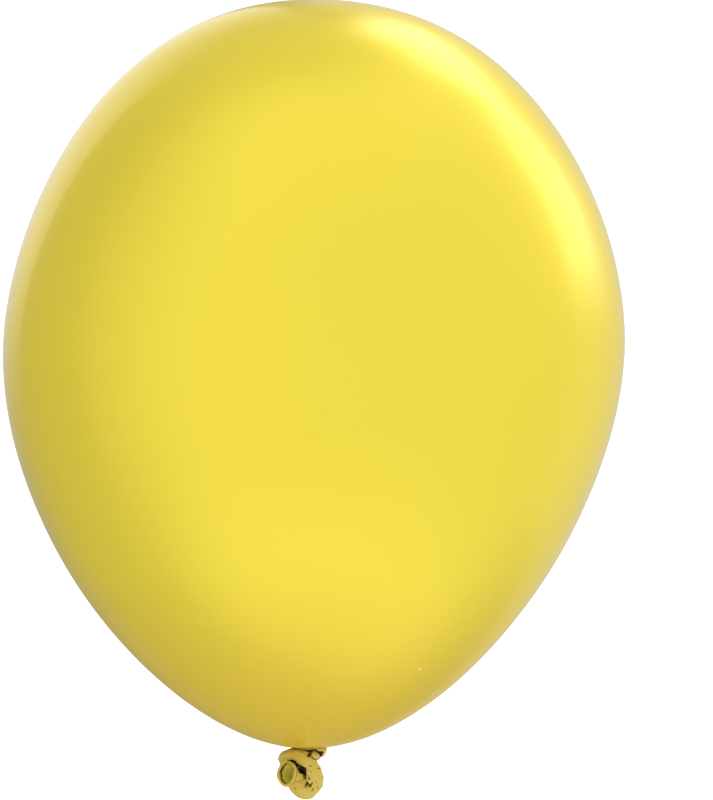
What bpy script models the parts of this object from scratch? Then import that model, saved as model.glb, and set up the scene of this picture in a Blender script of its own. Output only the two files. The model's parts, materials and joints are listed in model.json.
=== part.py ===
"""A tied, inflated latex balloon: bulb, gathered neck, overhand knot, tail tube and rolled mouth.

Metres, +Z up the balloon's axis. The origin is the neck, in the groove between bulb and knot.
The front of the balloon, where the tail shows, faces -Y.
"""
import math

import bmesh
import bpy
from mathutils import Matrix, Vector

MM = 0.001
GAP = 0.3 * MM                 # clearance kept between neighbouring solids

# Bulb: two Bezier arcs, crown to equator and equator to neck
EQUATOR_R = 139.7 * MM         # an 11 inch round balloon
CROWN_RISE = 155.4 * MM        # crown above the equator
NECK_DROP = 181.3 * MM         # neck below the equator
CROWN_FLATNESS = 0.710         # handle lengths, as shares of the radius or the height
SHOULDER_FULLNESS = 0.352
FLANK_FULLNESS = 0.486
BASE_FLATNESS = 0.420
NECK_ROOT_R = 1.8 * MM         # the base arc would meet the neck's floor at this radius
BULB_WALL = 0.25 * MM
BULB_ROWS = 14                 # profile steps in each arc
BULB_STEPS = 56                # faces round the bulb
NECK_HOLE_R = 7.0 * MM         # where the bulb's skin turns into the gathered neck
BISECTIONS = 40                # halvings that find the profile's point at the neck hole

# Gathered neck: a pleated collar with a tie groove, wider on the right than on the left
PLEATS = 11
PLEAT_DEPTH = 0.05             # share of the local radius
COLLAR_SHIFT = 1.1 * MM
COLLAR_SEGMENTS = 66
COLLAR_RINGS = (               # height, mean radius, share of the sideways shift
    (0.45 * MM, 6.1 * MM, 0.0),
    (0.05 * MM, 6.3 * MM, 0.0),
    (-0.35 * MM, 5.4 * MM, 0.0),
    (-0.80 * MM, 7.2 * MM, 0.6),
    (-1.60 * MM, 8.0 * MM, 1.0),
    (-2.80 * MM, 7.7 * MM, 1.0),
    (-3.60 * MM, 6.6 * MM, 0.7),
    (-3.90 * MM, 4.8 * MM, 0.4),
)
COLLAR_BASE = COLLAR_RINGS[-1][0]

# Knot: the route of the neck tube through an overhand knot, as x, y, z and radius in mm
KNOT_ROUTE = (
    (0.0, 0.4, -2.6, 3.4),
    (-0.8, 1.4, -7.2, 3.1),
    (-2.1, 2.3, -11.5, 3.7),
    (-1.6, 2.0, -16.2, 4.1),
    (0.8, 0.4, -19.6, 4.5),
    (3.7, -1.4, -16.6, 4.3),
    (4.2, -3.6, -12.0, 3.8),
    (1.2, -5.2, -8.6, 3.6),
    (-4.2, -4.2, -7.7, 3.5),
    (-8.7, 0.4, -8.0, 3.9),
    (-5.2, 5.2, -7.8, 3.5),
    (1.0, 6.4, -7.7, 3.2),
    (5.0, 3.0, -7.6, 2.7),
    (3.4, 0.0, -9.4, 2.1),
    (0.6, -2.4, -11.4, 2.0),
    (-1.6, -4.0, -12.0, 2.0),
)
KNOT_VOXEL = 0.85 * MM         # the strands press together where they cross
KNOT_RELAX = 3                 # smoothing passes over the joined strands

# Tail: the short uninflated mouth tube that comes out of the knot, and its rolled bead
TAIL_PIVOT = Vector((-2.6, -5.0, -12.2)) * MM
TAIL_AIM = Vector((-0.67, -0.71, 0.19)).normalized()
TAIL_SWING = (-15, 40)         # degrees about +Z; positive brings the mouth to the front
SWING_STEP = 11
CLEARANCE_VOXEL = 0.45 * MM
TAIL_ROOT_R = 2.2 * MM         # the root is a ball round the pivot
TAIL_MOUTH_R = 4.6 * MM
TAIL_LENGTH = 6.4 * MM         # pivot to lip
TAIL_WALL = 0.7 * MM
TAIL_STEPS = 40
ROOT_ARC_STEPS = 5
TUBE_FLOOR = 1.2 * MM          # the closed end of the tube's hollow, past the pivot
MOUTH_TALL = 1.12              # the mouth is a little taller than it is wide
BEAD_R = 0.9 * MM
BEAD_STEPS = 14

LATEX_YELLOW = (0.80, 0.62, 0.055, 1.0)
THICK_YELLOW = (0.62, 0.44, 0.06, 1.0)


def clear_scene():
    for item in list(bpy.data.objects):
        bpy.data.objects.remove(item, do_unlink=True)


def new_collection(name):
    collection = bpy.data.collections.new(name)
    bpy.context.scene.collection.children.link(collection)
    return collection


def latex(name, colour, roughness):
    material = bpy.data.materials.new(name)
    material.use_nodes = True
    shader = material.node_tree.nodes["Principled BSDF"]
    shader.inputs["Base Color"].default_value = colour
    shader.inputs["Roughness"].default_value = roughness
    shader.inputs["Metallic"].default_value = 0.0
    return material


def add_object(name, mesh, collection, material=None):
    item = bpy.data.objects.new(name, mesh)
    collection.objects.link(item)
    if material:
        mesh.materials.append(material)
    return item


def profile_mesh(name, points):
    """An open outline of (radius, height) points in the XZ plane, for a Screw modifier."""
    mesh = bpy.data.meshes.new(name)
    edges = [(i, i + 1) for i in range(len(points) - 1)]
    mesh.from_pydata([(r, 0.0, z) for r, z in points], edges, [])
    return mesh


def add_screw(item, steps):
    screw = item.modifiers.new("Turn", "SCREW")
    screw.steps = steps
    screw.render_steps = steps
    screw.use_merge_vertices = True
    screw.merge_threshold = 0.00001
    screw.use_smooth_shade = True


def bezier(p0, p1, p2, p3, t):
    s = 1.0 - t
    weights = (s * s * s, 3 * s * s * t, 3 * s * t * t, t * t * t)
    return tuple(sum(w * p[i] for w, p in zip(weights, (p0, p1, p2, p3))) for i in range(2))


def bulb_profile():
    """The bulb's outline from the crown down to the neck hole, as (radius, height)."""
    equator = NECK_DROP
    crown = ((0.0, equator + CROWN_RISE),
             (CROWN_FLATNESS * EQUATOR_R, equator + CROWN_RISE),
             (EQUATOR_R, equator + SHOULDER_FULLNESS * CROWN_RISE),
             (EQUATOR_R, equator))
    base = ((EQUATOR_R, equator),
            (EQUATOR_R, equator - FLANK_FULLNESS * NECK_DROP),
            (NECK_ROOT_R + BASE_FLATNESS * EQUATOR_R, 0.0),
            (NECK_ROOT_R, 0.0))
    low, high = 0.0, 1.0
    for _ in range(BISECTIONS):
        middle = 0.5 * (low + high)
        if bezier(*base, middle)[0] > NECK_HOLE_R:
            low = middle
        else:
            high = middle
    upper = [bezier(*crown, i / BULB_ROWS) for i in range(BULB_ROWS)]
    lower = [bezier(*base, low * i / BULB_ROWS) for i in range(BULB_ROWS + 1)]
    return upper + lower


def make_envelope(collection):
    material = latex("envelope_latex", LATEX_YELLOW, 0.22)
    item = add_object("envelope", profile_mesh("envelope", bulb_profile()), collection, material)
    add_screw(item, BULB_STEPS)
    skin = item.modifiers.new("Skin", "SOLIDIFY")
    skin.thickness = BULB_WALL
    skin.offset = -1.0


def make_neck_gather(collection):
    """The pleated collar: a loft through star-shaped rings, closed at both ends."""
    shape = bmesh.new()
    rings = []
    for height, radius, share in COLLAR_RINGS:
        ring = []
        for k in range(COLLAR_SEGMENTS):
            turn = 2 * math.pi * k / COLLAR_SEGMENTS
            reach = radius * (1 + PLEAT_DEPTH * math.cos(PLEATS * turn))
            ring.append(shape.verts.new((reach * math.cos(turn) + share * COLLAR_SHIFT,
                                         reach * math.sin(turn), height)))
        rings.append(ring)
    for upper, lower in zip(rings, rings[1:]):
        for k in range(COLLAR_SEGMENTS):
            after = (k + 1) % COLLAR_SEGMENTS
            shape.faces.new((upper[k], lower[k], lower[after], upper[after]))
    shape.faces.new(rings[0])
    shape.faces.new(list(reversed(rings[-1])))
    mesh = bpy.data.meshes.new("neck_gather")
    shape.to_mesh(mesh)
    shape.free()
    mesh.shade_smooth()
    add_object("neck_gather", mesh, collection, latex("gather_latex", THICK_YELLOW, 0.35))


def knot_tube(collection):
    """The knot's route swept into a tube, as a mesh."""
    curve = bpy.data.curves.new("knot_route", "CURVE")
    curve.dimensions = "3D"
    curve.bevel_depth = MM
    curve.bevel_resolution = 4
    curve.resolution_u = 8
    curve.use_fill_caps = True
    spline = curve.splines.new("BEZIER")
    spline.bezier_points.add(len(KNOT_ROUTE) - 1)
    for point, (x, y, z, radius) in zip(spline.bezier_points, KNOT_ROUTE):
        point.co = Vector((x, y, z)) * MM
        point.radius = radius
        point.handle_left_type = "AUTO"
        point.handle_right_type = "AUTO"
    route = bpy.data.objects.new("knot_route", curve)
    collection.objects.link(route)
    depsgraph = bpy.context.evaluated_depsgraph_get()
    mesh = bpy.data.meshes.new_from_object(route.evaluated_get(depsgraph))
    mesh.name = "knot"
    mesh.materials.clear()
    bpy.data.objects.remove(route, do_unlink=True)
    return mesh


def make_knot(collection, cutters):
    """The overhand knot: its crossings press into one lump, cleared for the collar and the tail."""
    item = add_object("knot", knot_tube(collection), collection,
                      latex("knot_latex", THICK_YELLOW, 0.38))
    joined = item.modifiers.new("Press together", "REMESH")
    joined.mode = "VOXEL"
    joined.voxel_size = KNOT_VOXEL
    joined.use_smooth_shade = True
    relax = item.modifiers.new("Relax", "SMOOTH")
    relax.iterations = KNOT_RELAX
    for cutter in (collar_clearance(cutters), tail_clearance(cutters)):
        cut = item.modifiers.new("Clear " + cutter.name, "BOOLEAN")
        cut.operation = "DIFFERENCE"
        cut.solver = "EXACT"
        cut.object = cutter


def hide_cutter(item):
    item.hide_render = True
    item.display_type = "WIRE"
    return item


def collar_clearance(cutters):
    """A thick disc over the knot, so that its top keeps clear of the collar's flat underside."""
    height = 6 * MM
    bpy.ops.mesh.primitive_cylinder_add(
        vertices=48, radius=16 * MM, depth=height,
        location=(0.0, 0.0, COLLAR_BASE - GAP + height / 2))
    disc = bpy.context.active_object
    disc.name = "collar_clearance"
    move_to(disc, cutters)
    return hide_cutter(disc)


def move_to(item, collection):
    for owner in list(item.users_collection):
        owner.objects.unlink(item)
    collection.objects.link(item)


def tail_outside(grow):
    """The tail's outer outline, lip to root ball, pushed out by grow."""
    waist_r = 0.5 * (TAIL_ROOT_R + TAIL_MOUTH_R) - 0.3 * MM
    ball = TAIL_ROOT_R + grow
    arc = [(ball * math.cos(0.5 * math.pi * i / ROOT_ARC_STEPS),
            -ball * math.sin(0.5 * math.pi * i / ROOT_ARC_STEPS))
           for i in range(ROOT_ARC_STEPS)]
    return [(TAIL_MOUTH_R + grow, TAIL_LENGTH), (waist_r + grow, 0.5 * TAIL_LENGTH)] + arc + [(0.0, -ball)]


def tail_matrix(swing_degrees):
    """Where the tail stands: its local Z along the aim and X level, swung about the pivot."""
    side = Vector((0, 0, 1)).cross(TAIL_AIM).normalized()
    up = TAIL_AIM.cross(side)
    stand = Matrix((side, up, TAIL_AIM)).transposed().to_4x4()
    swing = Matrix.Rotation(math.radians(swing_degrees), 4, "Z")
    tall = Matrix.Diagonal((1.0, MOUTH_TALL, 1.0, 1.0))
    return Matrix.Translation(TAIL_PIVOT) @ swing @ stand @ tall


def tail_clearance(cutters):
    """One solid that covers tail and bead across the whole swing, grown by the gap and a margin."""
    grow = GAP + CLEARANCE_VOXEL / 3
    rim_r = TAIL_MOUTH_R + BEAD_R + grow
    past_bead = TAIL_LENGTH + 3 * BEAD_R
    outline = [(0.0, past_bead), (rim_r, past_bead), (rim_r, TAIL_LENGTH)] + tail_outside(grow)
    pattern = add_object("tail_pattern", profile_mesh("tail_pattern", outline), cutters)
    add_screw(pattern, TAIL_STEPS)
    depsgraph = bpy.context.evaluated_depsgraph_get()
    solid = bpy.data.meshes.new_from_object(pattern.evaluated_get(depsgraph))
    bpy.data.objects.remove(pattern, do_unlink=True)
    fan = bmesh.new()
    for degrees in range(TAIL_SWING[0], TAIL_SWING[1] + 1, SWING_STEP):
        first = len(fan.verts)
        fan.from_mesh(solid)
        fan.verts.ensure_lookup_table()
        bmesh.ops.transform(fan, matrix=tail_matrix(degrees), verts=fan.verts[first:])
    mesh = bpy.data.meshes.new("tail_clearance")
    fan.to_mesh(mesh)
    fan.free()
    cutter = add_object("tail_clearance", mesh, cutters)
    joined = cutter.modifiers.new("Join the fan", "REMESH")
    joined.mode = "VOXEL"
    joined.voxel_size = CLEARANCE_VOXEL
    return hide_cutter(cutter)


def make_tail(collection, hinge):
    """The flared mouth tube: a cup turned about the tail's axis, open at its mouth."""
    outside = tail_outside(0.0)
    inside = [(0.0, TUBE_FLOOR), (TAIL_ROOT_R - TAIL_WALL, TUBE_FLOOR),
              (outside[1][0] - TAIL_WALL, outside[1][1]), (outside[0][0] - TAIL_WALL, outside[0][1])]
    tube = add_object("tail_tube", profile_mesh("tail_tube", inside + outside), collection,
                      latex("tail_latex", THICK_YELLOW, 0.38))
    tube.parent = hinge
    add_screw(tube, TAIL_STEPS)


def make_bead(collection, hinge):
    """The rolled mouth bead, just past the lip of the tail tube."""
    bpy.ops.mesh.primitive_torus_add(major_segments=TAIL_STEPS, minor_segments=BEAD_STEPS,
                                     major_radius=TAIL_MOUTH_R, minor_radius=BEAD_R)
    bead = bpy.context.active_object
    bead.name = "mouth_bead"
    move_to(bead, collection)
    bead.data.materials.append(latex("bead_latex", THICK_YELLOW, 0.3))
    bead.data.shade_smooth()
    bead.parent = hinge
    bead.location = (0.0, 0.0, TAIL_LENGTH + GAP + BEAD_R)


def main():
    clear_scene()
    balloon = new_collection("latex_balloon")
    cutters = new_collection("cutters")
    make_envelope(balloon)
    make_neck_gather(balloon)
    make_knot(balloon, cutters)
    hinge = bpy.data.objects.new("tail_hinge", None)
    balloon.objects.link(hinge)
    hinge.matrix_world = tail_matrix(0)
    make_tail(balloon, hinge)
    make_bead(balloon, hinge)


main()
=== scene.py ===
"""Looks of a tied yellow latex balloon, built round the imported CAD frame. Metres, +Z up, front at -Y."""
import json
import math

import bmesh
import bpy
import numpy as np
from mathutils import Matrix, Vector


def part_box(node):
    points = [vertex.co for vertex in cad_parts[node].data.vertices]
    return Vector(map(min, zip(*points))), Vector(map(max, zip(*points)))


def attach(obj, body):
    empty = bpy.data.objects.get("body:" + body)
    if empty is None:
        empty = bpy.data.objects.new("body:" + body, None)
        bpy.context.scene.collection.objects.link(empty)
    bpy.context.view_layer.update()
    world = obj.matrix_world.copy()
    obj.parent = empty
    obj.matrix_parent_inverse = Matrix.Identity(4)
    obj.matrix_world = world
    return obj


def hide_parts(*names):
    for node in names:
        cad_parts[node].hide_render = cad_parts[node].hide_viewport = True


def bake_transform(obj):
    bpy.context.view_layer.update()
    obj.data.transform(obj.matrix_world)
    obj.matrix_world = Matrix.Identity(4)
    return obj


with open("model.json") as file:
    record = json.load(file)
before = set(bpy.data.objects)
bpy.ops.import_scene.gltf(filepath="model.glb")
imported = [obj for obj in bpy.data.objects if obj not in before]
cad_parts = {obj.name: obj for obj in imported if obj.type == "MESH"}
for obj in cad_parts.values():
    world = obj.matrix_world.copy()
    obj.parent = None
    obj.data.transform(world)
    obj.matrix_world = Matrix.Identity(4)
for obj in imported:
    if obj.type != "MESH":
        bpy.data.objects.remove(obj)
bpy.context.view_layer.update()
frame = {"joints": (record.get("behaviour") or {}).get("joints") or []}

MM = 0.001
BULB_LOW, BULB_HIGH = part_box("envelope")
EQUATOR_R = 0.5 * (BULB_HIGH[0] - BULB_LOW[0])
CROWN_Z = BULB_HIGH[2]
JOINTS = {joint["name"]: joint for joint in frame["joints"]}
TAIL_PIVOT = np.array(JOINTS["tail_bend"]["pos_m"])

# The bulb's outline, as in the CAD: two Bezier arcs that meet at the equator
EQUATOR_SHARE = 181.3 / 336.7       # height of the equator, as a share of the crown's height
EQUATOR_Z = EQUATOR_SHARE * CROWN_Z
CROWN_FLATNESS = 0.710              # how far the crown runs level, as a share of the equator's radius
SHOULDER_FULLNESS = 0.352           # how far the side runs upright above the equator, as a share of the rise
FLANK_FULLNESS = 0.486              # and below it, as a share of the drop
BASE_FLATNESS = 0.420               # how far the base runs level, as a share of the equator's radius
NECK_ROOT_R = 1.8 * MM

RNG = np.random.default_rng(11)
GRAIN_ALONG = 0.16                 # how slowly the fine wrinkles change along a tube, against round it


# ---------------------------------------------------------------- meshes

def collection(name):
    made = bpy.data.collections.new(name)
    bpy.context.scene.collection.children.link(made)
    return made


PIECES = collection("balloon_looks")
STUDIO = collection("studio")


def add_piece(name, mesh, home=PIECES):
    item = bpy.data.objects.new(name, mesh)
    home.objects.link(item)
    return item


def grid_mesh(name, points, colours=None, close_start=False, close_end=False, joined=False, grain=None):
    """A mesh from rings of points [row, column, xyz], closed round each ring, with optional end caps.

    joined: the last ring runs on into the first, as in a torus.
    grain: coordinates that run slowly along the latex's folds, for its fine wrinkles."""
    rows, columns = points.shape[:2]
    vertices = points.reshape(-1, 3)
    row, column = np.meshgrid(np.arange(rows if joined else rows - 1), np.arange(columns), indexing="ij")
    after, below = (column + 1) % columns, (row + 1) % rows
    quads = np.stack([row * columns + column, below * columns + column,
                      below * columns + after, row * columns + after], -1).reshape(-1, 4)
    faces = [tuple(int(i) for i in quad) for quad in quads]
    if close_start:
        faces.append(tuple(range(columns)))
    if close_end:
        faces.append(tuple((rows - 1) * columns + k for k in reversed(range(columns))))
    mesh = bpy.data.meshes.new(name)
    mesh.from_pydata([tuple(p) for p in vertices], [], faces)
    mesh.update()
    face_outward(mesh)
    mesh.shade_smooth()
    store_points(mesh, "rest_place", vertices)
    if grain is not None:
        store_points(mesh, "grain", grain.reshape(-1, 3))
    for label, values in (colours or {}).items():
        store_values(mesh, label, values.reshape(-1))
    return mesh


def face_outward(mesh):
    """Turn every face of a closed mesh so that its normal points out."""
    shape = bmesh.new()
    shape.from_mesh(mesh)
    bmesh.ops.recalc_face_normals(shape, faces=shape.faces)
    shape.to_mesh(mesh)
    shape.free()


def store_points(mesh, label, vectors):
    attribute = mesh.attributes.new(label, "FLOAT_VECTOR", "POINT")
    attribute.data.foreach_set("vector", np.ascontiguousarray(vectors, np.float32).ravel())


def store_values(mesh, label, values):
    attribute = mesh.attributes.new(label, "FLOAT", "POINT")
    attribute.data.foreach_set("value", np.ascontiguousarray(values, np.float32))


def grain_of(reach, turn, along):
    """Grain coordinates of a tube: as wide as the tube across, and much shortened along it."""
    reach, turn, along = np.broadcast_arrays(reach, turn, along * GRAIN_ALONG)
    return np.stack([reach * np.cos(turn), reach * np.sin(turn), along], -1)


def bezier(points, t):
    p0, p1, p2, p3 = (np.array(p) for p in points)
    t = np.asarray(t)[:, None]
    s = 1 - t
    return s**3 * p0 + 3 * s * s * t * p1 + 3 * s * t * t * p2 + t**3 * p3


def smoothstep(low, high, value):
    t = np.clip((value - low) / (high - low), 0, 1)
    return t * t * (3 - 2 * t)


def smooth_min(a, b, width):
    """The smaller of a and b, rounded over width where they meet."""
    mix = np.clip(0.5 + 0.5 * (b - a) / width, 0, 1)
    return b * (1 - mix) + a * mix - width * mix * (1 - mix)


def wave_noise(points, scale, count, seed):
    """Smooth noise of about unit size: a sum of plane waves of a given wavelength in random directions."""
    rng = np.random.default_rng(seed)
    total = np.zeros(points.shape[:-1])
    for _ in range(count):
        direction = rng.normal(size=3)
        direction /= np.linalg.norm(direction)
        stretch = rng.uniform(0.7, 1.5)
        total += np.cos(points @ direction * (2 * math.pi * stretch / scale) + rng.uniform(0, 2 * math.pi))
    return total / math.sqrt(count / 2)


# ---------------------------------------------------------------- bulb skin

BULB_COLUMNS = 288
CROWN_RINGS, BASE_RINGS, THROAT_RINGS = 90, 150, 22
CROWN_START = 0.004                # the first ring's share of the crown's arc, inside which a cap lies
CLOSER_AT_NECK = 1.25              # above 1, the rings close up towards the neck
THROAT_R = 3.6 * MM                # where the skin runs into the gathered neck
THROAT_Z = -0.9 * MM
THROAT_BLEND_R = 9.5 * MM          # the skin turns down into the throat inside this radius
PLEAT_WAVES = ((13, 0.5), (19, 0.8), (29, 0.6))    # count round the neck, share of the height
PLEAT_HEIGHT = 0.16 * MM
PLEAT_REACH = 7.0 * MM
SKIN_RIPPLE = 0.10 * MM
RIPPLE_WAVE = 90 * MM
RIPPLE_FROM_R, RIPPLE_FULL_R = 12 * MM, 50 * MM
CONTACT_FROM_R, CONTACT_FULL_R = 8.4 * MM, 7.4 * MM    # painted shade: a dark ring where the skin meets the gathered neck
RIDGE_X, RIDGE_HALF = 1.5 * MM, 0.9 * MM           # a pale stretch line that runs up from the neck
RIDGE_TOP_Z, RIDGE_FULL_Z = 16 * MM, 5 * MM
# Painted glints, white specks of dust catching the light, on the front: x and z in mm, size in mm, share of
# white
GLINT_SPECKS = (
    ((49.2, 41.5), 0.95, 0.95), ((46.0, 44.8), 0.5, 0.35),
    ((-88.5, 138.0), 0.6, 0.3), ((-111.0, 95.0), 0.5, 0.25),
)
# The bulb is not quite even: it bows to the left below and to the right above
LOPSIDED = (-0.5 * MM, -1.25 * MM)


def bulb_outline():
    """Radius and height from the crown to the throat, close-set near the neck."""
    rise = CROWN_Z - EQUATOR_Z
    crown = bezier(((0.0, CROWN_Z), (CROWN_FLATNESS * EQUATOR_R, CROWN_Z),
                    (EQUATOR_R, EQUATOR_Z + SHOULDER_FULLNESS * rise), (EQUATOR_R, EQUATOR_Z)),
                   np.linspace(CROWN_START, 1, CROWN_RINGS, endpoint=False))
    base = bezier(((EQUATOR_R, EQUATOR_Z), (EQUATOR_R, EQUATOR_Z * (1 - FLANK_FULLNESS)),
                   (NECK_ROOT_R + BASE_FLATNESS * EQUATOR_R, 0.0), (NECK_ROOT_R, 0.0)),
                  1 - np.linspace(1, 0, BASE_RINGS) ** CLOSER_AT_NECK)
    base = base[base[:, 0] > THROAT_BLEND_R]
    last_r, last_z = base[-1]
    throat = bezier(((last_r, last_z), (last_r - 2.6 * MM, last_z - 0.12 * MM),
                     (THROAT_R, THROAT_Z + 1.0 * MM), (THROAT_R, THROAT_Z)),
                    np.linspace(0, 1, THROAT_RINGS)[1:])
    return np.concatenate([crown, base, throat])


def glint_specks_on(points):
    """Each painted glint on a speck, as its place on the front of the skin, its size and its share of white.
    """
    front = points[points[..., 1] <= 0]
    specks = []
    for spot, size, share in GLINT_SPECKS:
        away = np.linalg.norm(front[:, [0, 2]] - np.array(spot) * MM, axis=-1)
        specks.append((front[np.argmin(away)], size * MM, share))
    return specks


def make_bulb():
    """The inflated skin, from the crown to where it runs into the gathered neck."""
    outline = bulb_outline()
    turn = np.linspace(0, 2 * math.pi, BULB_COLUMNS, endpoint=False)
    radius, height = outline[:, :1], outline[:, 1:]
    points = np.stack([radius * np.cos(turn), radius * np.sin(turn), height + 0 * turn], -1)
    slope = np.gradient(outline, axis=0)
    outward = np.stack([-slope[:, 1], slope[:, 0]], -1)
    outward /= np.linalg.norm(outward, axis=1)[:, None]
    pleats = sum(share * np.cos(waves * turn + RNG.uniform(0, 2 * math.pi)) for waves, share in PLEAT_WAVES)
    fade = np.exp(-np.maximum(radius - THROAT_R, 0) / PLEAT_REACH) * (height < EQUATOR_Z)
    ripple = (SKIN_RIPPLE * wave_noise(points, RIPPLE_WAVE, 14, 3)
              * smoothstep(RIPPLE_FROM_R, RIPPLE_FULL_R, radius))
    lift = PLEAT_HEIGHT * fade * pleats + ripple
    points[..., 0] += lift * outward[:, :1] * np.cos(turn)
    points[..., 1] += lift * outward[:, :1] * np.sin(turn)
    points[..., 2] += lift * outward[:, 1:]
    level = math.pi * np.clip(height / CROWN_Z, 0, 1)
    points[..., 0] += LOPSIDED[0] * np.sin(level) + LOPSIDED[1] * np.sin(2 * level)
    # Painted shade: a dark ring round the neck where the skin meets the gathered neck
    contact_shade = smoothstep(CONTACT_FROM_R, CONTACT_FULL_R, radius) * (height < EQUATOR_Z) + 0 * turn
    ridge = (np.exp(-((points[..., 0] - RIDGE_X) / RIDGE_HALF) ** 2) * (points[..., 1] < 0)
             * smoothstep(RIDGE_TOP_Z, RIDGE_FULL_Z, height))
    item = add_piece("bulb_skin", grid_mesh("bulb_skin", points, {"crease_shade": contact_shade, "ridge": ridge},
                                            close_start=True))
    item.data.materials.append(stretched_latex(glint_specks_on(points)))
    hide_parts("envelope")
    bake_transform(item)
    return item


# ---------------------------------------------------------------- neck collar

COLLAR_COLUMNS = 240
# Height, reach of the flap on the right and reach elsewhere, in mm
COLLAR_RINGS = ((0.55, 5.2, 4.3), (0.35, 8.2, 5.2), (0.05, 9.2, 5.7), (-0.5, 9.55, 6.0), (-1.3, 9.35, 5.9),
                (-2.1, 9.15, 5.6), (-2.8, 8.9, 5.2), (-3.4, 8.5, 4.8), (-3.8, 7.8, 4.3), (-3.9, 6.9, 3.9),
                (-3.8, 5.2, 3.4), (-3.6, 3.0, 2.6))
COLLAR_LEVELS = 45
COLLAR_PLEATS = ((11, 0.5), (17, 0.45), (26, 0.25))    # count round the collar, share of the depth
COLLAR_PLEAT = 0.055               # depth of the pleats, as a share of the reach
BACK_BULGE = 1.25 * MM
FLAP_TURN = math.radians(10)       # the flap points to the right and a little to the back
FLAP_HALF = math.radians(58)


def make_collar():
    """The gathered neck: a pleated ruffle, squeezed small in front, with a flap on the right."""
    rings = np.array(COLLAR_RINGS) * MM
    fine, coarse = np.linspace(0, 1, COLLAR_LEVELS), np.linspace(0, 1, len(rings))
    rings = np.stack([np.interp(fine, coarse, rings[:, k]) for k in range(3)], 1)
    height, flap, plain = rings[:, :1], rings[:, 1:2], rings[:, 2:]
    turn = np.linspace(0, 2 * math.pi, COLLAR_COLUMNS, endpoint=False)
    off = np.abs((turn - FLAP_TURN + math.pi) % (2 * math.pi) - math.pi)
    share = 1 - smoothstep(0.25 * FLAP_HALF, FLAP_HALF, off)
    back = BACK_BULGE * smoothstep(0.1, 0.9, np.sin(turn))
    pleats = 0
    for waves, size in COLLAR_PLEATS:
        wave = np.abs(np.sin(0.5 * waves * turn + RNG.uniform(0, math.pi)))
        pleats = pleats + size * (1 - 2 * wave ** 0.7)
    level = smoothstep(0.6 * MM, -1.0 * MM, height)
    reach = (plain + back + share * (flap - plain)) * (1 - COLLAR_PLEAT * pleats * (0.4 + 0.6 * level))
    sag = height * (1 + 0.10 * np.cos(5 * turn + 0.6) * level) - 0.12 * MM * pleats * level
    points = np.stack([reach * np.cos(turn), reach * np.sin(turn), sag], -1)
    # Painted shade: the collar's front darkened for the shade round the knot's loop, and its pleats' valleys
    # for the shade in them
    hollow_shade = smoothstep(-0.10, -0.40, np.sin(turn)) * (1 - smoothstep(0.6, 0.95, share))
    flap_side = smoothstep(4.8 * MM, 6.4 * MM, points[..., 0])
    hollow_shade = hollow_shade * smoothstep(-0.35 * MM, -0.7 * MM, height + 0.75 * MM * flap_side)
    crease_shade = np.maximum(0.5 * np.clip(pleats * 1.2 - 0.35, 0, 1), hollow_shade) * np.ones_like(height)
    item = add_piece("neck_collar", grid_mesh("neck_collar", points, {"crease_shade": crease_shade},
                                              close_start=True, close_end=True,
                                              grain=grain_of(reach, turn, height)))
    item.data.materials.append(thick_latex("collar_latex"))
    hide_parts("neck_gather")
    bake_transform(item)
    return item


# ---------------------------------------------------------------- knot

# Route of the neck tube through the overhand knot, as x, y, z and radius in mm, from the neck to the tail
STRAND = (
    (0.3, 0.9, -0.6, 2.9), (-0.9, 1.7, -5.5, 3.6), (-2.8, 1.8, -10.2, 4.7), (-2.5, 0.4, -15.0, 5.4),
    (0.6, 0.1, -18.0, 5.3), (4.0, -0.9, -16.0, 4.3), (4.1, -2.6, -12.0, 4.2), (2.9, -3.6, -9.1, 4.2),
    (-0.9, -4.5, -4.9, 4.5), (-5.0, -3.6, -4.3, 4.0), (-8.2, -0.2, -5.6, 3.9), (-6.1, 4.3, -6.2, 3.8),
    (-1.0, 6.0, -5.6, 3.6), (3.9, 4.8, -4.4, 2.6), (5.4, 0.2, -2.9, 2.1), (3.1, -4.9, -3.6, 2.1),
    (2.2, -3.0, -6.6, 1.9), (0.4, -2.6, -10.2, 2.2), (-1.8, -4.2, -11.9, 2.3), (-3.4, -5.8, -12.1, 2.3),
)
STRAND_STEP = 0.36 * MM
STRAND_COLUMNS = 160
STRAND_APART = 2.6 * MM            # nearer than this along the strand, the tube does not press on itself
PRESS_GAP = 0.05 * MM              # half of what stays open between two pressed turns
PRESS_ROUND = 1.15 * MM            # how softly a turn flattens against its neighbour
PRESS_FAR = 40 * MM                # farther than any point of the knot
# Count of the folds round the strand and their size as a share of its radius
STRAND_FOLDS = ((3, 0.026), (5, 0.024), (8, 0.018), (13, 0.013), (22, 0.008))
STRAND_RIPPLE = 0.10 * MM
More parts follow.
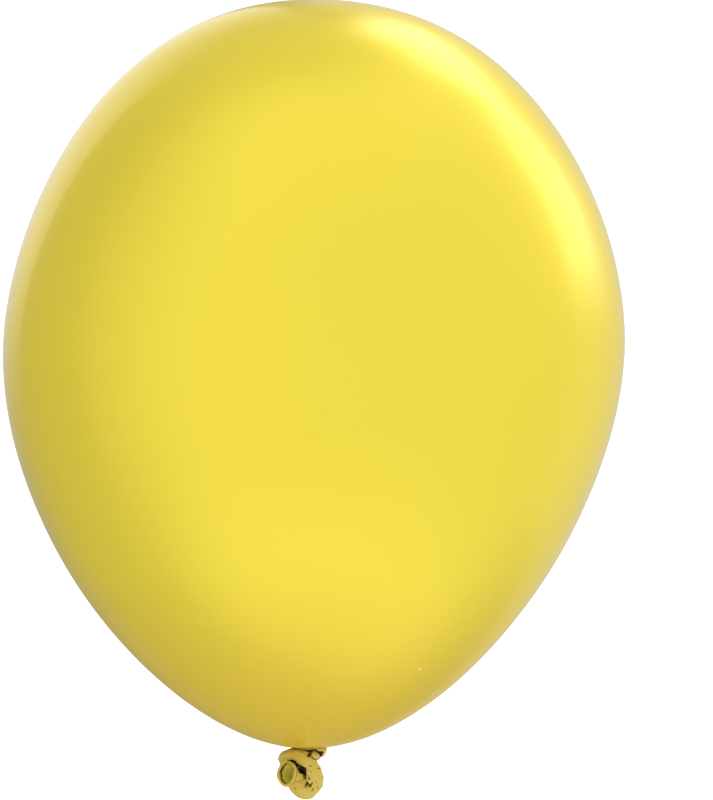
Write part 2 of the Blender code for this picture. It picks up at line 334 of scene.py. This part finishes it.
# Pinched creases on the front, dented into the surface and darkened with painted shade: x and z of both ends,
# half width and depth, in mm
PINCHES = (
    (-7.6, -5.8, -6.2, -5.4, 0.30, 0.30), (-5.8, -5.6, -4.4, -6.3, 0.85, 0.50),
    (-4.4, -6.6, -2.2, -8.2, 0.70, 0.50), (-1.8, -8.1, 0.2, -9.2, 0.85, 0.50),
    (0.1, -9.4, 0.0, -11.0, 0.80, 0.50), (0.1, -11.0, 0.1, -13.0, 0.70, 0.50),
    (-1.9, -8.9, -0.4, -10.3, 0.90, 0.40), (2.1, -7.3, 3.1, -7.6, 0.26, 0.35),
    (1.7, -12.9, 2.3, -14.0, 0.32, 0.50), (5.0, -14.5, 5.5, -14.8, 0.24, 0.30),
    (1.3, -15.5, 2.6, -17.2, 0.24, 0.40), (2.6, -17.3, 3.5, -15.4, 0.30, 0.50),
    (3.6, -19.2, 4.2, -18.0, 0.26, 0.35), (1.7, -2.9, 2.6, -1.5, 0.85, 0.30),
    (-2.8, -10.6, -1.8, -10.7, 0.26, 0.30), (0.3, -21.9, 0.9, -22.1, 0.20, 0.20),
    (6.2, -8.6, 7.4, -9.1, 0.28, 0.35), (3.0, -10.0, 3.3, -10.4, 0.18, 0.18),
    (5.8, -17.0, 6.6, -18.4, 0.20, 0.30), (-4.6, -17.6, -3.6, -19.0, 0.18, 0.25),
)


def catmull_rom(before, start, end, after, t):
    """The smooth curve from start to end, with its neighbours before and after."""
    bend = 2 * before - 5 * start + 4 * end - after
    twist = 3 * start - before - 3 * end + after
    return 0.5 * (2 * start + (end - before) * t + bend * t**2 + twist * t**3)


def smooth_path(knots, step):
    """A Catmull-Rom curve through the knots, resampled at even steps of its length."""
    knots = np.array(knots) * MM
    ends = np.concatenate([[2 * knots[0] - knots[1]], knots, [2 * knots[-1] - knots[-2]]])
    t = np.linspace(0, 1, 24, endpoint=False)[:, None]
    pieces = [catmull_rom(*four, t) for four in zip(ends, ends[1:], ends[2:], ends[3:])]
    path = np.concatenate(pieces + [knots[-1:]])
    length = np.concatenate([[0], np.cumsum(np.linalg.norm(np.diff(path[:, :3], axis=0), axis=1))])
    even = np.linspace(0, length[-1], int(length[-1] / step))
    return np.stack([np.interp(even, length, path[:, k]) for k in range(4)], 1), even


def frames_along(centres):
    """Two side directions at each centre that turn as little as they can along the path."""
    ahead = np.gradient(centres, axis=0)
    ahead /= np.linalg.norm(ahead, axis=1)[:, None]
    side = np.cross(ahead[0], (0.0, 1.0, 0.2))
    sides = []
    for direction in ahead:
        side = side - direction * (side @ direction)
        side = side / np.linalg.norm(side)
        sides.append(side)
    sides = np.array(sides)
    return sides, np.cross(ahead, sides)


def pressed_reach(centres, radii, along, rays, reach):
    """How far each ray from a centre goes, up to reach, before it meets the rest of the strand."""
    limit = np.full(reach.shape, PRESS_FAR)
    for i, (centre, radius) in enumerate(zip(centres, radii)):
        others = np.abs(along - along[i]) > STRAND_APART
        apart = centres[others] - centre
        grow = radii[others] - radius
        toward = rays[i] @ apart.T + grow
        room = (np.sum(apart**2, 1) - grow**2) / (2 * np.maximum(toward, 1e-6))
        room[toward <= 1e-6] = PRESS_FAR
        limit[i] = np.clip(room.min(axis=1), 0, PRESS_FAR)
    pressed = smooth_min(reach, limit - PRESS_GAP, PRESS_ROUND)
    return np.maximum(pressed, 0.2 * MM)


def pinch_dents_and_shade(points, front):
    """Depth of the pinches, and their painted shade, at each point of the front."""
    dent = np.zeros(points.shape[:-1])
    pinch_shade = np.zeros(points.shape[:-1])
    flat = points[..., [0, 2]]
    for x0, z0, x1, z1, half, depth in PINCHES:
        start, run = np.array((x0, z0)) * MM, np.array((x1 - x0, z1 - z0)) * MM
        share = np.clip(((flat - start) @ run) / (run @ run), 0, 1)
        off = np.linalg.norm(flat - start - share[..., None] * run, axis=-1) / (half * MM)
        dent = np.maximum(dent, depth * MM * np.exp(-off**2) * front)
        pinch_shade = np.maximum(pinch_shade, np.exp(-off**2 * 0.9) * front)
    return dent, pinch_shade


def strand_folds(along, turn):
    """Folds that run along the strand and drift round it, as shares of its radius."""
    folds = np.zeros((len(along), len(turn)))
    for count, size in STRAND_FOLDS:
        drift = RNG.uniform(-1, 1) * along / (16 * MM) + 0.7 * np.sin(along / (6 * MM) + RNG.uniform(0, 6))
        wave = 0.5 * (count * turn + count * drift[:, None] * 0.5 + 0.6 * np.sin(2 * turn))
        way = -1 if count < 5 else 1
        folds += size * (1 - 2 * np.abs(np.cos(wave + RNG.uniform(0, 6))) ** 1.3) * way
    return folds


def knot_pocket_shade(points, rays):
    """Painted shade in the deep pocket between the band, the tail's root and the lower loop."""
    x, y, z = (points[..., k] / MM for k in range(3))
    rough = 0.9 * wave_noise(points, 3 * MM, 12, 40)
    deep = smoothstep(-6.4, -5.4, y + 0.3 * rough)
    across = smoothstep(-6.2, -4.6, x + rough) * smoothstep(2.0, 0.6, x + rough)
    upright = smoothstep(-13.6, -11.0, z + rough) * smoothstep(-4.9, -5.9, z)
    return deep * across * upright * smoothstep(0.2, -0.3, rays[..., 1])


def loop_shut(points):
    """1 where the lower loop's sides close on the front, too tight to show much of the painted shade between
    them.
    """
    x, y, z = (points[..., k] / MM for k in range(3))
    return smoothstep(-12.6, -14.2, z) * smoothstep(-2.5, -1.5, x) * smoothstep(4.0, 3.0, x) * (y < 0)


def make_knot():
    """The neck tube on its way through the overhand knot, pressed flat where its turns meet."""
    path, along = smooth_path(STRAND, STRAND_STEP)
    centres, radii = path[:, :3], path[:, 3]
    sides, ups = frames_along(centres)
    turn = np.linspace(0, 2 * math.pi, STRAND_COLUMNS, endpoint=False)
    rays = (np.cos(turn)[None, :, None] * sides[:, None] + np.sin(turn)[None, :, None] * ups[:, None])
    reach = radii[:, None] * (1 + strand_folds(along, turn))
    plain = centres[:, None] + reach[..., None] * rays
    reach = reach + STRAND_RIPPLE * wave_noise(plain, 4.2 * MM, 16, 8)
    pressed = pressed_reach(centres, radii, along, rays, reach)
    points = centres[:, None] + pressed[..., None] * rays
    front = smoothstep(0.15, 0.6, -rays[..., 1])
    dent, pinch_shade = pinch_dents_and_shade(points, front)
    points -= dent[..., None] * rays
    # Painted shade where the turns press together, less where the lower loop shuts, and with the pinches and
    # the pocket
    overlap = reach - pressed + 0.10 * MM * wave_noise(points, 3.5 * MM, 12, 5)
    buried_shade = smoothstep(0.20 * MM, 0.70 * MM, overlap) * (1 - 0.7 * loop_shut(points))
    crease_shade = np.maximum(np.maximum(buried_shade, pinch_shade), knot_pocket_shade(points, rays))
    item = add_piece("knot_strand", grid_mesh("knot_strand", points, {"crease_shade": crease_shade},
                                              close_start=True, close_end=True,
                                              grain=grain_of(reach, turn, along[:, None])))
    item.data.materials.append(thick_latex("knot_latex"))
    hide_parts("knot")
    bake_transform(item)
    return item


# ---------------------------------------------------------------- tail and mouth roll

TAIL_AIM = np.array((-0.67, -0.71, 0.19))
TAIL_AIM = TAIL_AIM / np.linalg.norm(TAIL_AIM)
TAIL_SIDE = np.cross((0.0, 0.0, 1.0), TAIL_AIM)
TAIL_SIDE = TAIL_SIDE / np.linalg.norm(TAIL_SIDE)
TAIL_UP = np.cross(TAIL_AIM, TAIL_SIDE)
# Distance along the aim and radius in mm: outside from the root to the lip, then inside back to the folds
TAIL_PROFILE = (
    (-1.6, 1.5), (-0.8, 2.0), (0.5, 2.35), (1.8, 2.7), (3.2, 3.2), (4.6, 3.9), (5.9, 4.6), (6.9, 5.05),
    (7.4, 5.1), (7.6, 4.9), (7.3, 4.6), (6.4, 4.2), (5.2, 3.6), (4.0, 2.8), (2.9, 1.7), (2.4, 0.5),
)
TAIL_OUTSIDE = 9                   # how many of those are outside
TAIL_RINGS = 76
TAIL_COLUMNS = 144
MOUTH_TALL = 1.12                  # the mouth's height, as a share of its width
ROLL_R = 0.78 * MM
ROLL_HEART_R = 4.85 * MM           # from the mouth's centre to the middle of the bead
ROLL_COLUMNS, ROLL_SIDES = 180, 36
ROLL_AT = 7.6 * MM                 # the bead's distance along the aim


def tail_ring(turn, distance, radius):
    """A ring of the tail at a distance along its aim, wavy as unstretched latex is."""
    wave = 0.045 * np.cos(2 * turn + 0.7) + 0.035 * np.cos(3 * turn - 1.1) + 0.018 * np.cos(5 * turn + 2.0)
    flare = np.clip(distance / ROLL_AT, 0, 1)
    radius = radius * (1 + wave * flare)
    lift = 0.55 * MM * flare**2 * (np.cos(2 * turn - 0.5) * 0.6 + 0.4 * np.cos(3 * turn + 1.3))
    return (TAIL_PIVOT + (distance + lift)[..., None] * TAIL_AIM
            + (radius * np.cos(turn))[..., None] * TAIL_SIDE
            + (MOUTH_TALL * radius * np.sin(turn))[..., None] * TAIL_UP)


def tail_crease_shade(turn, distance, inside):
    """Painted shade on top near the tail's root, outside by the lip and inside under the roll. Distances in
    mm.
    """
    on_top = smoothstep(0.30, 0.80, np.sin(turn + 0.35)) * (1 - inside) * smoothstep(5.2, 3.6, distance)
    by_lip = np.exp(-((distance - 6.3) / 0.4) ** 2) * (1 - inside) * smoothstep(-0.2, 0.5, np.cos(turn))
    under_roll = inside * np.exp(-((distance - 6.5) / 0.5) ** 2)
    return on_top + 0.85 * by_lip + 0.75 * under_roll


def make_tail():
    """The flared, unstretched mouth tube: outside, lip and inside, which closes in folds at its depth."""
    profile = np.array(TAIL_PROFILE) * MM
    fine = np.linspace(0, len(profile) - 1, TAIL_RINGS)
    distance = np.interp(fine, np.arange(len(profile)), profile[:, 0])[:, None]
    radius = np.interp(fine, np.arange(len(profile)), profile[:, 1])[:, None]
    inside = smoothstep(TAIL_OUTSIDE - 1, TAIL_OUTSIDE + 1, fine)[:, None]
    depth = inside * smoothstep(8.0 * MM, 3.5 * MM, distance)
    turn = np.linspace(0, 2 * math.pi, TAIL_COLUMNS, endpoint=False)[None, :]
    folds = 0.05 * np.abs(np.sin(3.5 * turn + 0.4)) + 0.035 * np.abs(np.sin(6 * turn + 1.7))
    fold_size = (0.25 + 3.2 * depth) * np.sign(0.5 - depth)
    shaped = radius * (1 + folds * fold_size - 0.02)
    points = tail_ring(turn + 0 * shaped, distance + 0 * shaped, shaped)
    # Painted shade deep inside the tube, in its folds and in the creases round it
    depth_shade = 0.7 * depth ** 1.5 * (0.45 + 2.2 * folds)
    colours = {"crease_shade": np.clip(depth_shade + tail_crease_shade(turn, distance / MM, inside), 0, 1),
               # Marks the inside, which is painted a duller olive for its shade
               "inner_shade": inside + 0 * shaped}
    item = add_piece("tail_skin", grid_mesh("tail_skin", points, colours, close_start=True, close_end=True,
                                            grain=grain_of(shaped, turn, distance)))
    item.data.materials.append(thick_latex("tail_latex"))
    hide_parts("tail_tube")
    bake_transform(item)
    return item


def make_roll():
    """The rolled bead round the mouth, thicker on its far side and slightly uneven."""
    turn = np.linspace(0, 2 * math.pi, ROLL_COLUMNS, endpoint=False)
    spin = np.linspace(0, 2 * math.pi, ROLL_SIDES, endpoint=False)
    heart = tail_ring(turn, np.full_like(turn, ROLL_AT), np.full_like(turn, ROLL_HEART_R))
    out = heart - TAIL_PIVOT
    out -= (out @ TAIL_AIM)[:, None] * TAIL_AIM
    out /= np.linalg.norm(out, axis=1)[:, None]
    far = -out[:, 0] / np.abs(out[:, 0]).max()
    above = np.maximum(out[:, 2], 0)
    uneven = 0.05 * np.cos(4 * turn + 1) + 0.03 * np.cos(9 * turn)
    thick = ROLL_R * (0.80 + 0.30 * far - 0.30 * above + uneven)
    round_off = 1 + 0.06 * np.cos(3 * spin[None, :] + 2 * turn[:, None])
    points = (heart[:, None] + (thick[:, None] * round_off * np.cos(spin))[..., None] * out[:, None]
              + (thick[:, None] * round_off * np.sin(spin))[..., None] * TAIL_AIM)
    # Painted shade in two bands round the bead, broken here and there
    crease_shade_bands = np.exp(-((spin - 1.0 * math.pi) / 0.42) ** 2) + np.exp(-((spin - 1.72 * math.pi) / 0.5) ** 2)
    breaks = smoothstep(-1.0, 0.3, wave_noise(points, 4 * MM, 12, 33))
    crease_shade = crease_shade_bands[None, :] * breaks
    grain = grain_of(thick[:, None], spin, 5 * MM * np.sin(turn)[:, None])
    item = add_piece("mouth_roll", grid_mesh("mouth_roll", points, {"crease_shade": crease_shade}, joined=True,
                                             grain=grain))
    item.data.materials.append(thick_latex("bead_latex"))
    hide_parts("mouth_bead")
    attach(item, "tail")
    return item


# ---------------------------------------------------------------- materials

def maths_node(tree, operation, a, b=None):
    """The output of a Math node on sockets or numbers."""
    node = tree.nodes.new("ShaderNodeMath")
    node.operation = operation
    for socket, value in zip(node.inputs, (a, b)):
        if isinstance(value, (int, float)):
            socket.default_value = value
        elif value is not None:
            tree.links.new(value, socket)
    return node.outputs[0]


class Nodes:
    """Short names for the nodes that the latex materials share."""

    def __init__(self, name):
        self.material = bpy.data.materials.new(name)
        self.material.use_nodes = True
        self.tree = self.material.node_tree
        self.shader = self.tree.nodes["Principled BSDF"]
        place = self.tree.nodes.new("ShaderNodeAttribute")
        place.attribute_name = "rest_place"
        self.place = place.outputs["Vector"]

    def stored(self, label):
        """A stored point vector."""
        node = self.tree.nodes.new("ShaderNodeAttribute")
        node.attribute_name = label
        return node.outputs["Vector"]

    def link(self, output, target):
        self.tree.links.new(output, target)

    def value(self, label):
        """The brightness of a stored point attribute."""
        node = self.tree.nodes.new("ShaderNodeAttribute")
        node.attribute_name = label
        return node.outputs["Fac"]

    def noise(self, scale, detail=2.0, roughness=0.5, vector=None):
        """Noise of a scale in waves a metre, so that 900 is a grain of about 1 mm."""
        node = self.tree.nodes.new("ShaderNodeTexNoise")
        node.inputs["Scale"].default_value = scale
        node.inputs["Detail"].default_value = detail
        node.inputs["Roughness"].default_value = roughness
        self.link(vector or self.place, node.inputs["Vector"])
        return node.outputs["Fac"]

    def cells(self, scale):
        """Distance to the nearest of some points strewn at a scale in points a metre."""
        node = self.tree.nodes.new("ShaderNodeTexVoronoi")
        node.inputs["Scale"].default_value = scale
        self.link(self.place, node.inputs["Vector"])
        return node.outputs["Distance"]

    def stretch(self, x, y, z):
        """The place at rest, scaled on each axis."""
        node = self.tree.nodes.new("ShaderNodeVectorMath")
        node.operation = "MULTIPLY"
        self.link(self.place, node.inputs[0])
        node.inputs[1].default_value = (x, y, z)
        return node.outputs["Vector"]

    def near(self, spot, size):
        """1 at a spot, falling to 0 at a distance of size."""
        node = self.tree.nodes.new("ShaderNodeVectorMath")
        node.operation = "DISTANCE"
        self.link(self.place, node.inputs[0])
        node.inputs[1].default_value = tuple(float(v) for v in spot)
        return self.spread(node.outputs["Value"], size, 0.3 * size)

    def height(self):
        node = self.tree.nodes.new("ShaderNodeSeparateXYZ")
        self.link(self.place, node.inputs[0])
        return node.outputs["Z"]

    def spread(self, value, low, high, new_low=0.0, new_high=1.0):
        """value from low..high to new_low..new_high, clamped."""
        node = self.tree.nodes.new("ShaderNodeMapRange")
        ends = {"From Min": low, "From Max": high, "To Min": new_low, "To Max": new_high}
        for key, number in ends.items():
            node.inputs[key].default_value = number
        self.link(value, node.inputs["Value"])
        return node.outputs["Result"]

    def maths(self, operation, a, b):
        return maths_node(self.tree, operation, a, b)

    def mix(self, share, colour_a, colour_b):
        """colour_a where share is 0, colour_b where it is 1."""
        node = self.tree.nodes.new("ShaderNodeMix")
        node.data_type = "RGBA"
        self.link(share, node.inputs["Factor"])
        for key, colour in (("A", colour_a), ("B", colour_b)):
            socket = next(s for s in node.inputs if s.name == key and s.type == "RGBA")
            if isinstance(colour, tuple):
                socket.default_value = (*colour, 1.0)
            else:
                self.link(colour, socket)
        return next(s for s in node.outputs if s.type == "RGBA")

    def bump(self, height, distance, strength=1.0, under=None):
        node = self.tree.nodes.new("ShaderNodeBump")
        node.inputs["Strength"].default_value = strength
        node.inputs["Distance"].default_value = distance
        self.link(height, node.inputs["Height"])
        if under:
            self.link(under, node.inputs["Normal"])
        return node.outputs["Normal"]


PLAIN_YELLOW = (0.875, 0.70, 0.057)
DENSE_YELLOW = (0.86, 0.600, 0.066)
THIN_YELLOW = (0.895, 0.725, 0.065)
# Painted shade, near black, for the creases, folds and contact lines
PAINTED_CREASE_SHADE = (0.014, 0.010, 0.004)
SPECK_YELLOW = (0.95, 0.9, 0.6)
RIDGE_YELLOW = (0.93, 0.80, 0.13)
# Painted glint, for white specks of dust catching the light
GLINT_WHITE = (1.0, 0.98, 0.85)
DENSE_TOP_Z = 0.080                # the skin is less stretched below this height, and fully so at the neck
GLOSS_LOW_Z, GLOSS_HIGH_Z = 0.005, 0.11


def stretched_latex(glint_specks):
    """The inflated skin: glossy, cloudy in its thickness, denser and more orange at the neck and crown."""
    n = Nodes("stretched_latex")
    cloud = n.spread(n.noise(9.0, 2.0, 0.5), 0.0, 1.0)
    skin = n.mix(cloud, PLAIN_YELLOW, THIN_YELLOW)
    neck = n.spread(n.height(), DENSE_TOP_Z, 0.0)
    flow = n.spread(n.noise(1.0, 2.0, 0.6, n.stretch(260.0, 260.0, 14.0)), 0.0, 1.0, 0.75, 1.25)
    crown = n.spread(n.height(), CROWN_Z - 0.0035, CROWN_Z - 0.0008)
    dense = n.maths("MAXIMUM", n.maths("MULTIPLY", neck, flow), n.maths("MULTIPLY", crown, 0.8))
    skin = n.mix(dense, skin, DENSE_YELLOW)
    speck = n.spread(n.cells(95.0), 0.035, 0.02)
    skin = n.mix(n.maths("MULTIPLY", speck, 0.4), skin, SPECK_YELLOW)
    skin = n.mix(n.maths("MULTIPLY", n.value("ridge"), 0.35), skin, RIDGE_YELLOW)
    # Painted glints: white specks of dust catching the light
    for spot, size, share in glint_specks:
        skin = n.mix(n.maths("MULTIPLY", n.near(spot, size), share), skin, GLINT_WHITE)
    # Painted shade: the dark ring round the neck where the skin meets the gathered neck
    skin = n.mix(n.value("crease_shade"), skin, PAINTED_CREASE_SHADE)
    n.link(skin, n.shader.inputs["Base Color"])
    n.shader.inputs["Roughness"].default_value = 0.33
    n.shader.inputs["Metallic"].default_value = 0.30
    n.shader.inputs["IOR"].default_value = 1.33
    n.shader.inputs["Specular IOR Level"].default_value = 0.3
    n.shader.inputs["Specular Tint"].default_value = (1.0, 0.82, 0.10, 1.0)
    n.link(n.spread(n.height(), GLOSS_LOW_Z, GLOSS_HIGH_Z, 0.15, 0.8), n.shader.inputs["Coat Weight"])
    n.shader.inputs["Coat Roughness"].default_value = 0.04
    n.shader.inputs["Coat IOR"].default_value = 1.2
    n.link(n.bump(n.noise(900.0, 2.0), 0.00002, 0.25), n.shader.inputs["Normal"])
    return n.material


THICK_YELLOW = (0.68, 0.50, 0.085)
THICK_OLIVE = (0.60, 0.50, 0.070)
THICK_ORANGE = (0.72, 0.47, 0.090)
# Painted shade: the inside of the mouth tube, duller for the shade in it
INNER_SHADE_OLIVE = (0.58, 0.50, 0.062)


def thick_latex(name):
    """Unstretched latex: opaque, satin, with fine wrinkles, and painted shade, near black, where folds press
    together.
    """
    n = Nodes(name)
    drift = n.noise(140.0, 3.0, 0.6)
    skin = n.mix(n.spread(drift, 0.30, 0.55), THICK_OLIVE, THICK_YELLOW)
    skin = n.mix(n.spread(n.noise(95.0, 2.0), 0.45, 0.75, 0.0, 0.75), skin, THICK_ORANGE)
    # Painted shade: the inside of the mouth tube is a duller olive
    skin = n.mix(n.value("inner_shade"), skin, INNER_SHADE_OLIVE)
    # Painted shade, near black, where the crease mask is high, with a noisy edge
    edge = n.maths("ADD", n.value("crease_shade"), n.spread(n.noise(800.0, 3.0, 0.7), 0.2, 0.8, -0.22, 0.22))
    dark = n.spread(edge, 0.38, 0.72)
    skin = n.mix(dark, skin, PAINTED_CREASE_SHADE)
    n.link(skin, n.shader.inputs["Base Color"])
    rough = n.spread(n.noise(500.0, 2.0), 0.3, 0.7, 0.36, 0.5)
    n.link(n.maths("ADD", rough, n.maths("MULTIPLY", dark, 0.4)), n.shader.inputs["Roughness"])
    n.shader.inputs["Specular IOR Level"].default_value = 0.35
    n.shader.inputs["Subsurface Weight"].default_value = 0.12
    n.shader.inputs["Subsurface Radius"].default_value = (1.0, 0.6, 0.1)
    n.shader.inputs["Subsurface Scale"].default_value = 0.0025
    grain = n.stored("grain")
    furrow = n.bump(n.noise(650.0, 3.0, 0.6, grain), 0.0005, 0.55)
    wrinkle = n.bump(n.noise(1500.0, 3.0, 0.6, grain), 0.00016, 0.6, under=furrow)
    n.link(n.bump(n.noise(2600.0, 2.0), 0.00003, 0.4, under=wrinkle), n.shader.inputs["Normal"])
    return n.material


# ---------------------------------------------------------------- studio

LEAN = math.radians(1.36)           # the balloon leans this much to the right in the picture
LENS = 150.0
SENSOR = 36.0
PICTURE_TALL = 361.0 * MM          # height that the picture shows at the balloon
PICTURE_CENTRE = (19.4 * MM, 157.2 * MM)    # x and z that the picture is centred on
FLOOR_Z = -1.6
ROOM_R = 7.0
WALL_TOP_Z = 2.0                    # the wall ends here and a dome closes the room


def make_camera():
    camera = bpy.data.cameras.new("camera")
    camera.lens = LENS
    camera.sensor_width = SENSOR
    camera.clip_start = 0.05
    camera.clip_end = 50.0
    item = add_piece("camera", camera, STUDIO)
    distance = PICTURE_TALL * LENS / SENSOR
    item.location = (PICTURE_CENTRE[0], -distance, PICTURE_CENTRE[1])
    item.rotation_euler = (math.pi / 2, -LEAN, 0.0)
    bpy.context.scene.camera = item


def make_room():
    """A round white room: a pale floor far below the balloon sweeps up into the wall and a dome."""
    bend = 2.0
    arc = [(ROOM_R - bend + bend * math.sin(a), FLOOR_Z + bend - bend * math.cos(a))
           for a in np.linspace(0, math.pi / 2, 16)]
    dome = [(ROOM_R * math.cos(a), WALL_TOP_Z + ROOM_R * math.sin(a))
            for a in np.linspace(0, 0.499 * math.pi, 16)]
    outline = np.array([(0.01, FLOOR_Z), (2.0, FLOOR_Z)] + arc + dome)
    turn = np.linspace(0, 2 * math.pi, 96, endpoint=False)
    points = np.stack([outline[:, :1] * np.cos(turn), outline[:, :1] * np.sin(turn),
                       outline[:, 1:] + 0 * turn], -1)
    item = add_piece("cyclorama", grid_mesh("cyclorama", points, close_start=True, close_end=True), STUDIO)
    paint = bpy.data.materials.new("white_paint")
    paint.use_nodes = True
    shader = paint.node_tree.nodes["Principled BSDF"]
    shader.inputs["Base Color"].default_value = (0.9, 0.9, 0.9, 1.0)
    shader.inputs["Roughness"].default_value = 0.9
    shader.inputs["Emission Color"].default_value = (1.0, 1.0, 1.0, 1.0)
    shader.inputs["Emission Strength"].default_value = 0.55
    item.data.materials.append(paint)
    item.visible_diffuse = False
    item.visible_glossy = False
    item.visible_transmission = False
    item.visible_shadow = False


def box_share(tree, azimuth, elevation, panel, soft):
    """1 inside a softbox given as azimuths and elevations in degrees, with a soft edge, and 0 outside."""
    def ramp(value, start, end):
        node = tree.nodes.new("ShaderNodeMapRange")
        node.interpolation_type = "SMOOTHSTEP"
        node.inputs["From Min"].default_value = start
        node.inputs["From Max"].default_value = end
        tree.links.new(value, node.inputs["Value"])
        return node.outputs["Result"]

    def between(value, low, high, edge):
        return maths_node(tree, "MULTIPLY", ramp(value, low - edge, low + edge),
                          ramp(value, high + edge, high - edge))

    az0, az1, el0, el1 = panel
    return maths_node(tree, "MULTIPLY", between(azimuth, az0, az1, soft[0]),
                      between(elevation, el0, el1, soft[1]))


# Softboxes round the balloon, in degrees: azimuths from +Y towards +X and elevations, then how soft the edges
# are across and up, then strength
SOFTBOXES = {
    "key_above_right": ((11, 49, 39, 58), (8, 8), 3.5),
    "key_right": ((42, 68, 12, 44), (7, 7), 2.0),
    "panel_right": ((-2, 68, -26, 40), (2, 2), 0.3),
    "panel_left": ((-45, -6, 2, 42), (1.2, 14), 0.75),
    "front_fill": ((58, 245, -80, 100), (34, 34), 0.60),
    "left_fill": ((205, 300, -50, 80), (30, 30), 0.26),
    "top_fill": ((-95, 280, 52, 100), (14, 14), 0.26),
    "floor_fill": ((60, 280, -100, -46), (14, 14), 0.38),
}
AMBIENT = 0.34


def make_world():
    """An even white room with softboxes painted into it by direction."""
    world = bpy.data.worlds.new("studio_light")
    bpy.context.scene.world = world
    world.use_nodes = True
    tree = world.node_tree
    background = tree.nodes["Background"]
    direction = tree.nodes.new("ShaderNodeTexCoord")
    parts = tree.nodes.new("ShaderNodeSeparateXYZ")
    tree.links.new(direction.outputs["Generated"], parts.inputs[0])

    def maths(operation, a, b=None):
        return maths_node(tree, operation, a, b)

    azimuth = maths("MULTIPLY", maths("ARCTAN2", parts.outputs["X"], parts.outputs["Y"]), 180 / math.pi)
    behind = maths("LESS_THAN", azimuth, -90.0)
    azimuth_round = maths("ADD", azimuth, maths("MULTIPLY", behind, 360.0))
    elevation = maths("MULTIPLY", maths("ARCSINE", parts.outputs["Z"]), 180 / math.pi)
    total = AMBIENT
    for panel, soft, strength in SOFTBOXES.values():
        share = box_share(tree, azimuth_round, elevation, panel, soft)
        total = maths("ADD", maths("MULTIPLY", share, strength), total)
    tree.links.new(total, background.inputs["Strength"])
    background.inputs["Color"].default_value = (1.0, 1.0, 1.0, 1.0)


def make_view():
    """Plain colours, with no film look."""
    settings = bpy.context.scene.view_settings
    settings.view_transform = "Standard"
    settings.look = "None"


make_camera()
make_world()
make_room()
make_view()
make_bulb()
make_collar()
make_knot()
make_tail()
make_roll()
